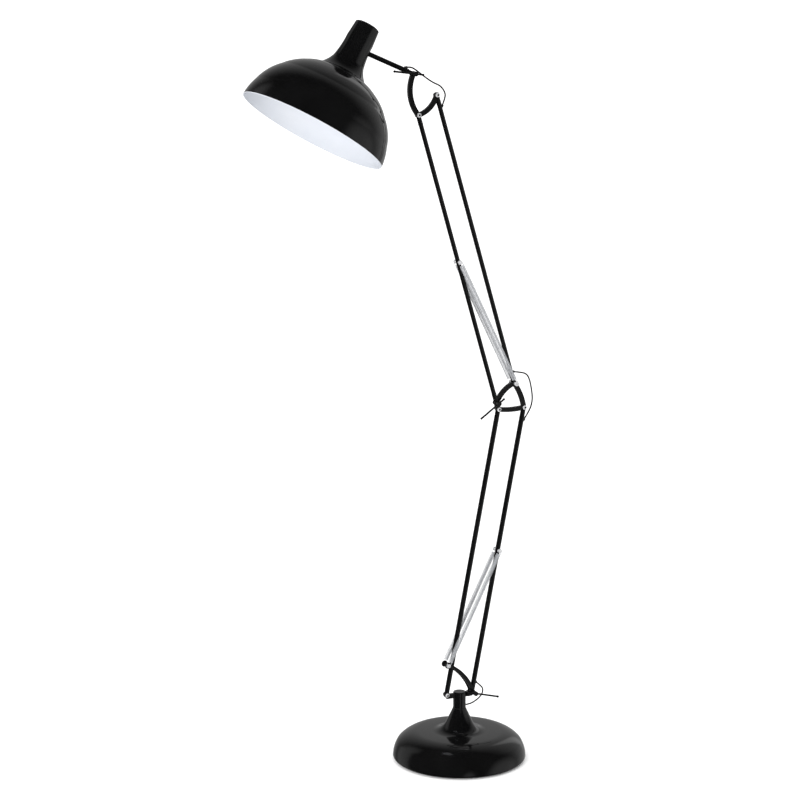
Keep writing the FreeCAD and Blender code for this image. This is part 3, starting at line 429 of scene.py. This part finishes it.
def hexed(radius):
    """Radii round a hexagon of that circumradius."""
    inside = radius * math.cos(math.pi / 6)
    found = []
    for i in range(ROUND_SIDES):
        turn = (2 * math.pi * i / ROUND_SIDES) % (math.pi / 3) - math.pi / 6
        found.append(inside / math.cos(turn))
    return found


def ringed(name, levels, place):
    """A solid over levels of (radii or one radius, height), in millimetres, about a frame's Z."""
    rings = []
    for radii, height in levels:
        radii = radii if isinstance(radii, list) else [radii] * ROUND_SIDES
        rings.append([place @ (Vector((r * math.cos(2 * math.pi * i / ROUND_SIDES),
                                       r * math.sin(2 * math.pi * i / ROUND_SIDES), height)) * MM)
                      for i, r in enumerate(radii)])
    return finished(skin(rings, capped=True), name)


TOWARDS_FRONT = Matrix.Rotation(math.radians(90), 4, "X")
TOWARDS_BACK = Matrix.Rotation(math.radians(-90), 4, "X")


def bolt(name, point, face, body, node):
    """A button-head bolt with a hexagon socket, its head on the front face of a fork, the socket's inside painted
    black as shade.
    """
    place = Matrix.Translation(point) @ TOWARDS_FRONT
    socket = hexed(SOCKET)
    levels = [(SHANK, -face - 4.5), (SHANK, face + 0.01), (5.55, face + 0.01), (5.75, face + 0.3)]
    for degrees in (12, 25, 38, 48, 56):
        angle = math.radians(degrees)
        levels.append((5.75 * math.cos(angle), face + 3.2 * math.sin(angle)))
    levels += [([s * 1.06 for s in socket], face + 3.0), (socket, face + 2.8), (socket, face + 0.4)]
    obj = piece(name, ringed(name, levels, place), body, "bright_steel", [node])
    # The socket's inside gets black paint as painted shadow.
    paint_socket_shadow(obj, point, face + 2.79)


def paint_socket_shadow(obj, point, top):
    """Painted shade: black paint on the walls and floor of a bolt's hexagon socket, below that height in
    millimetres.
    """
    # The second slot is black paint that stands in for the shadow inside the socket.
    obj.data.materials.append(PAINT)
    for polygon in obj.data.polygons:
        away = (polygon.center - point) / MM
        if math.hypot(away.x, away.z) < SOCKET + 0.05 and 0 < -away.y < top:
            polygon.material_index = 1


def nut(name, point, face, body, node):
    """A black cap nut on the back face of a fork."""
    place = Matrix.Translation(point) @ TOWARDS_BACK
    flats = hexed(5.6)
    chamfer = [min(r, 5.25) for r in flats]
    levels = [(chamfer, face + 0.01), (flats, face + 0.35), (flats, face + 3.5), (chamfer, face + 3.9)]
    for degrees in (5, 30, 55, 75):
        angle = math.radians(degrees)
        levels.append((4.5 * math.cos(angle), face + (4.0 + 1.5 * math.sin(angle))))
    piece(name, ringed(name, levels, place), body, "black_paint", [node])


def fasteners():
    """A bolt and a nut at each pivot of the tubes, for the CAD nodes that hold one or several."""
    pairs = [
        ("lower_left_foot", BASE_LEFT, LOWER_FORK_FACE, "lower_left", "s"),
        ("lower_left_top", ELBOW_LEFT, LOWER_FORK_FACE, "lower_left", "s"),
        ("lower_right_top", ELBOW_RIGHT, LOWER_FORK_FACE, "lower_right", ""),
        ("upper_left_top", HEAD_LEFT, UPPER_FORK_FACE, "upper_left", ""),
        ("upper_right_top", HEAD_RIGHT, UPPER_FORK_FACE, "upper_right", ""),
    ]
    for name, point, face, body, plural in pairs:
        bolt(f"{name}_button_bolt", point, face, body, f"{body}_bolt{plural}")
        nut(f"{name}_cap_nut", point, face, body, f"{body}_nut{plural}")


def spring_arm_studs():
    """The side plates' rivet, and a black disc and a bright stud for each lower spring's foot."""
    plate, disc, head = 9.3, 10.8, 16.2
    rivet_levels = [
        (2.5, 0), (2.5, plate - 0.4), (3.8, plate - 0.02), (4.0, plate + 0.3), (3.6, plate + 0.9),
        (2.6, plate + 1.3), (1.2, plate + 1.5)]
    disc_levels = [
        (2.4, plate - 2), (8.2, plate + 0.02), (8.5, plate + 0.3), (8.5, disc - 0.3), (8.2, disc),
        (3.4, disc + 0.02)]
    stud_levels = [
        (3.4, disc), (3.5, disc + 0.2), (3.5, head), (4.7, head), (4.95, head + 0.3), (4.6, head + 1.1),
        (3.4, head + 1.45), (hexed(2.3), head + 1.5), (hexed(2.3), head + 0.4)]
    made = [
        ("spring_arm_rivet", rivet_levels, RIVET, "black_paint"),
        ("spring_stud_disc", disc_levels, SPRING_FOOT, "black_paint"),
        ("spring_stud", stud_levels, SPRING_FOOT, "bright_steel"),
    ]
    for turned, word in ((TOWARDS_FRONT, "front"), (TOWARDS_BACK, "back")):
        for kind, levels, point, slot in made:
            name = f"{kind}_{word}"
            mesh = ringed(name, levels, Matrix.Translation(point) @ turned)
            piece(name, mesh, "swivel", slot, ["spring_arm_pins"])


# ---------------------------------------------------------------- springs

# In millimetres: radii of the coils' outside, the wire and the hooks, the length of a hook's bare tail, the
# height over which the wire enters the coils, the coils' pitch, and each spring's distance from the middle.
COIL_OUTSIDE = 6.25
WIRE = 0.82
HOOK_RING = 4.9
HOOK_TAIL = 4.5
COIL_ENTRY = 3
COIL_PITCH = 2.9
SPRING_OFFSET = 13.2
HOOK_STEPS = 12
STEPS_PER_TURN = 14
WIRE_SIDES = 8


def hook(centre, first):
    """Half a turn of the wire about a stud, from the angle first, at that height."""
    points = []
    for i in range(HOOK_STEPS + 1):
        angle = first + math.pi * i / HOOK_STEPS
        points.append(Vector((HOOK_RING * math.cos(angle), 0, centre + HOOK_RING * math.sin(angle))))
    return points


def spring_path(length, near, far):
    """The wire's line from hook to hook, the studs at 0 and length, its coils from near to far."""
    points = [Vector((-HOOK_RING, 0, HOOK_TAIL)), *hook(0, math.pi)]
    points.append(Vector((HOOK_RING, 0, near - COIL_ENTRY)))
    radius = COIL_OUTSIDE - WIRE
    turns = round((far - near) / COIL_PITCH)
    steps = turns * STEPS_PER_TURN
    for i in range(steps + 1):
        angle = 2 * math.pi * i / STEPS_PER_TURN
        height = near + (far - near) * i / steps
        points.append(Vector((radius * math.cos(angle), radius * math.sin(angle), height)))
    points.append(Vector((HOOK_RING, 0, far + COIL_ENTRY)))
    points += hook(length, 0)
    points.append(Vector((-HOOK_RING, 0, length - HOOK_TAIL)))
    return [p * MM for p in points]


def springs(name, start, end, leads, node):
    """The coil springs on both sides of an arm, from a stud on one body to a stud on the other.

    leads are the lengths of plain wire between each stud and the coils."""
    span = end - start
    lean = math.degrees(math.atan2(span.x, span.z))
    length = span.length / MM
    path = spring_path(length, leads[0], length - leads[1])
    for side, word in ((-1, "front"), (1, "back")):
        place = leaning(start + Vector((0, side * SPRING_OFFSET * MM, 0)), lean)
        rings = tube_rings([place @ p for p in path], WIRE * MM, WIRE_SIDES)
        made = finished(skin(rings, capped=True), f"{name}_{word}", 60)
        obj = piece(f"{name}_{word}", made, None, "spring_wire", [node])
        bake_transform(obj)


# ---------------------------------------------------------------- flex loops

LOWER_FRAME = leaning(BASE_RIGHT, 11.04)
UPPER_FRAME = leaning(ELBOW_TOP, -16.88)
ROD_FRAME = leaning(HEAD_PIVOT, -67.8)
LOWER_LENGTH = 756.2
UPPER_LENGTH = 768.1
GROMMET_REACH = 8.4
# Each grommet's tube, its height along it in millimetres and the fall of its axis in degrees.
GROMMETS = {
    "base": (LOWER_FRAME, 29.5, 28.0),
    "elbow_low": (LOWER_FRAME, LOWER_LENGTH - 46.0, -64.0),
    "elbow_high": (UPPER_FRAME, 32.0, 25.0),
    "head": (UPPER_FRAME, UPPER_LENGTH - 38.0, -50.0),
    "rod": (ROD_FRAME, 36.0, 60.0),
}


def mouth(grommet, beyond=0.0):
    """The mouth of a grommet, or a point on its axis that many millimetres further out."""
    tube, along, fall = GROMMETS[grommet]
    turn = math.radians(fall)
    out = Vector((math.cos(turn), 0, -math.sin(turn)))
    start = Vector((0, 0, along))
    return tube @ ((start + out * (GROMMET_REACH / math.cos(turn) + beyond)) * MM)


def middle(points):
    """The route's points between its mouths, from millimetres in the arm plane."""
    return [Vector((x, 0, z)) * MM for x, z in points]


BASE_LOOP = middle([(8, 141), (30, 141), (50, 149.5), (65.5, 162), (69.5, 177.5)])
BASE_LOOP += [mouth("base", 14), mouth("base")]
ELBOW_LOOP = [mouth("elbow_high"), mouth("elbow_high", 18)]
ELBOW_LOOP += middle([(189, 1004), (198, 987), (203.5, 962), (207, 936)])
ELBOW_LOOP += [mouth("elbow_low", 27), mouth("elbow_low")]
HEAD_LOOP = [mouth("rod"), mouth("rod", 10.3)]
HEAD_LOOP += middle([(-126, 1778), (-104, 1762), (-82, 1748.2), (-59.5, 1739.5), (-46.5, 1721)])
HEAD_LOOP += [mouth("head", 14), mouth("head")]
# Where the elbow's and the head's loops pass from one joint to the next, in metres.
ELBOW_SPLIT_Z = 0.953
HEAD_SPLIT_X = -0.100
# The flex's radius in metres.
FLEX_RADIUS = 0.0019
FLEX_SIDES = 16


def smooth_line(name, route):
    """The points of the NURBS line that a route's points control."""
    curve = bpy.data.curves.new(name, "CURVE")
    curve.dimensions = "3D"
    curve.resolution_u = 16
    spline = curve.splines.new("NURBS")
    spline.points.add(len(route) - 1)
    for control, point in zip(spline.points, route):
        control.co = (*point, 1)
    spline.order_u = 3
    spline.use_endpoint_u = True
    holder = bpy.data.objects.new(name, curve)
    mesh = bpy.data.meshes.new_from_object(holder)
    line = [v.co.copy() for v in mesh.vertices]
    bpy.data.objects.remove(holder)
    bpy.data.meshes.remove(mesh)
    return line


def flex_stretch(name, rings, node):
    """One stretch of a loop, between the two bodies at its ends."""
    obj = piece(name, finished(skin(rings, capped=True), name, 60), None, "black_flex", [node])
    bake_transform(obj)


def flex_loops():
    """The three loops of flex, in a stretch for each joint they cross."""
    line = smooth_line("base_loop_line", BASE_LOOP)
    rings = tube_rings(line, FLEX_RADIUS, FLEX_SIDES)
    flex_stretch("base_loop", rings,
                 "flex_base_loop")

    line = smooth_line("elbow_loop_line", ELBOW_LOOP)
    rings = tube_rings(line, FLEX_RADIUS, FLEX_SIDES)
    split = min(range(len(line)), key=lambda i: abs(line[i].z - ELBOW_SPLIT_Z))
    flex_stretch("elbow_loop_high", rings[:split + 1],
                 "flex_elbow_loop")
    flex_stretch("elbow_loop_low", rings[split:],
                 "flex_elbow_loop")

    line = smooth_line("head_loop_line", HEAD_LOOP)
    rings = tube_rings(line, FLEX_RADIUS, FLEX_SIDES)
    split = min(range(len(line)), key=lambda i: abs(line[i].x - HEAD_SPLIT_X))
    flex_stretch("head_loop_rod", rings[:split + 1],
                 "flex_head_loop")
    flex_stretch("head_loop_arm", rings[split:],
                 "flex_head_loop")


# ---------------------------------------------------------------- CAD nodes that stay

# The bevel's width in millimetres on each CAD node that gets one.
BEVEL_OF_NODE = {
    "elbow_bracket": 1.0, "head_bracket": 1.0, "lower_bracket": 0.8, "spring_arm_plates": 0.6,
    "base_clamp_screw": 0.6, "elbow_clamp_screw": 0.6, "head_clamp_screw": 0.6,
    "lower_right_forks": 0.6, "lower_left_forks": 0.6, "upper_right_forks": 0.6, "upper_left_forks": 0.6,
    "elbow_spring_pin": 0.7, "lower_spring_pin": 0.5, "upper_spring_pin": 0.5,
    "lower_grommets": 0.6, "upper_grommets": 0.6, "rod_grommet": 0.6,
    "head_rod": 0.4, "lamp_holder": 0.6, "holder_ring": 0.6, "cable_gland": 0.5, "base_pad": 0.6,
}


# Degrees between faces that count as flat, and from which an edge is bevelled.
FLAT_BELOW = 0.8
SHARP_FROM = 40


def soften(obj, width):
    """Round the sharp edges of a CAD piece: flat faces first become whole, then their edges are bevelled."""
    planar = obj.modifiers.new("whole_faces", "DECIMATE")
    planar.decimate_type = "DISSOLVE"
    planar.angle_limit = math.radians(FLAT_BELOW)
    bevel = obj.modifiers.new("soft_edges", "BEVEL")
    bevel.width = width * MM
    bevel.segments = 3
    bevel.limit_method = "ANGLE"
    bevel.angle_limit = math.radians(SHARP_FROM)
    bevel.use_clamp_overlap = True
    bevel.harden_normals = True


def dress_cad_nodes():
    """Each CAD node's material, and its bevel if it has one."""
    for name, node in frame["nodes"].items():
        node.data.materials.clear()
        node.data.materials.append(OF_SLOT[SLOT_OF_NODE[name]])
        if name in BEVEL_OF_NODE:
            soften(node, BEVEL_OF_NODE[name])


# ---------------------------------------------------------------- studio

# The camera's lens in millimetres, its place in metres, and the way it looks in degrees:
# right of +Y, and down.
LENS = 96.44
CAMERA_PLACE = (-2.409, -4.789, 1.896)
CAMERA_TURN = 25.05
CAMERA_PITCH = 10.02


def studio_camera():
    """A long lens, level with the lamp's top and to its front left."""
    data = bpy.data.cameras.new("camera")
    data.lens = LENS
    data.sensor_width = 36.0
    camera = bpy.data.objects.new("camera", data)
    bpy.context.scene.collection.objects.link(camera)
    camera.location = CAMERA_PLACE
    turn = math.radians(CAMERA_TURN)
    pitch = math.radians(CAMERA_PITCH)
    level = math.cos(pitch)
    ahead = Vector((math.sin(turn) * level, math.cos(turn) * level, -math.sin(pitch)))
    camera.rotation_mode = "QUATERNION"
    camera.rotation_quaternion = ahead.to_track_quat("-Z", "Y")
    bpy.context.scene.camera = camera


def studio_floor():
    """A plain white floor, which the paint doesn't mirror."""
    mesh = bpy.data.meshes.new("floor")
    half = 14.0
    corners = [(-half, -half, 0), (half, -half, 0), (half, half, 0), (-half, half, 0)]
    mesh.from_pydata(corners, [], [(0, 1, 2, 3)])
    floor = bpy.data.objects.new("floor", mesh)
    bpy.context.scene.collection.objects.link(floor)
    material, shader = new_material("pale_floor")
    shader.inputs["Base Color"].default_value = (0.97, 0.97, 0.97, 1)
    shader.inputs["Roughness"].default_value = 0.8
    shader.inputs["Specular IOR Level"].default_value = 0.0
    mesh.materials.append(material)
    floor.visible_glossy = False


def glow(tree, direction, inner, outer, strength, flatten):
    """A soft bright patch of the surround: full inside the inner angle, gone at the outer one.

    flatten below 1 draws the patch out towards the zenith and the ground."""
    coordinates = tree.nodes.new("ShaderNodeTexCoord")
    squash = tree.nodes.new("ShaderNodeVectorMath")
    squash.operation = "MULTIPLY"
    squash.inputs[1].default_value = (1, 1, flatten)
    unit = tree.nodes.new("ShaderNodeVectorMath")
    unit.operation = "NORMALIZE"
    facing = tree.nodes.new("ShaderNodeVectorMath")
    facing.operation = "DOT_PRODUCT"
    facing.inputs[1].default_value = Vector(direction).normalized()
    fade = tree.nodes.new("ShaderNodeMapRange")
    fade.interpolation_type = "SMOOTHSTEP"
    fade.inputs["From Min"].default_value = math.cos(math.radians(outer))
    fade.inputs["From Max"].default_value = math.cos(math.radians(inner))
    fade.inputs["To Max"].default_value = strength
    tree.links.new(coordinates.outputs["Generated"], squash.inputs[0])
    tree.links.new(squash.outputs[0], unit.inputs[0])
    tree.links.new(unit.outputs[0], facing.inputs[0])
    tree.links.new(facing.outputs["Value"], fade.inputs["Value"])
    return fade.outputs["Result"]


# How bright the surround is to the eye and as soft light.
WHITE = 1.35
# Where each soft patch is, its full and fading angles, its strength and its flattening.
REFLECTED = [
    ((0.70, 0.70, 0.05), 10, 75, 0.42, 0.6),
    ((-0.15, -0.99, -0.2), 2, 14, 0.4, 0.35),
    ((0.81, 0.56, 0.1), 2, 9, 0.5, 0.2),
    ((-0.62, 0.78, 0.0), 6, 24, 0.35, 0.3),
    ((0.80, -0.58, -0.25), 12, 36, 0.45, 0.8),
]


def studio_world():
    """White all round for the eye and for soft light, with only a few broad patches to mirror."""
    world = bpy.data.worlds.new("studio")
    bpy.context.scene.world = world
    world.use_nodes = True
    tree = world.node_tree
    background = tree.nodes["Background"]
    background.inputs["Color"].default_value = (1, 1, 1, 1)
    total = None
    for patch in REFLECTED:
        light = glow(tree, *patch)
        if total is not None:
            add = tree.nodes.new("ShaderNodeMath")
            tree.links.new(total, add.inputs[0])
            tree.links.new(light, add.inputs[1])
            light = add.outputs[0]
        total = light
    rays = tree.nodes.new("ShaderNodeLightPath")
    chosen = tree.nodes.new("ShaderNodeMix")
    chosen.data_type = "FLOAT"
    chosen.inputs["A"].default_value = WHITE
    tree.links.new(rays.outputs["Is Glossy Ray"], chosen.inputs["Factor"])
    tree.links.new(total, chosen.inputs["B"])
    tree.links.new(chosen.outputs["Result"], background.inputs["Strength"])


FILL_PLACE = Vector((-3.2, -2.2, 1.2))
FILL_TARGET = Vector((-0.2, 0, 1.5))
FILL_WATTS = 130


def fill_light():
    """A broad soft light from the front left, which shapes what isn't glossy."""
    data = bpy.data.lights.new("fill", "AREA")
    data.shape = "RECTANGLE"
    data.size, data.size_y = 2.5, 2.0
    data.energy = FILL_WATTS
    light = bpy.data.objects.new("fill", data)
    bpy.context.scene.collection.objects.link(light)
    light.location = FILL_PLACE
    light.rotation_mode = "QUATERNION"
    light.rotation_quaternion = (FILL_TARGET - FILL_PLACE).to_track_quat("-Z", "Y")
    light.visible_glossy = False


# ---------------------------------------------------------------- making

studio_camera()
flex_loops()
base_pieces()
shade_pieces()
bulb_pieces()
fasteners()
spring_arm_studs()
springs("lower_spring", SPRING_FOOT, LOWER_MIDDLE, (10, 8), "lower_springs")
springs("upper_spring", ELBOW_TOP, UPPER_MIDDLE, (12, 9), "upper_springs")
dress_cad_nodes()
studio_floor()
studio_world()
fill_light()
bpy.context.scene.view_settings.view_transform = "Standard"
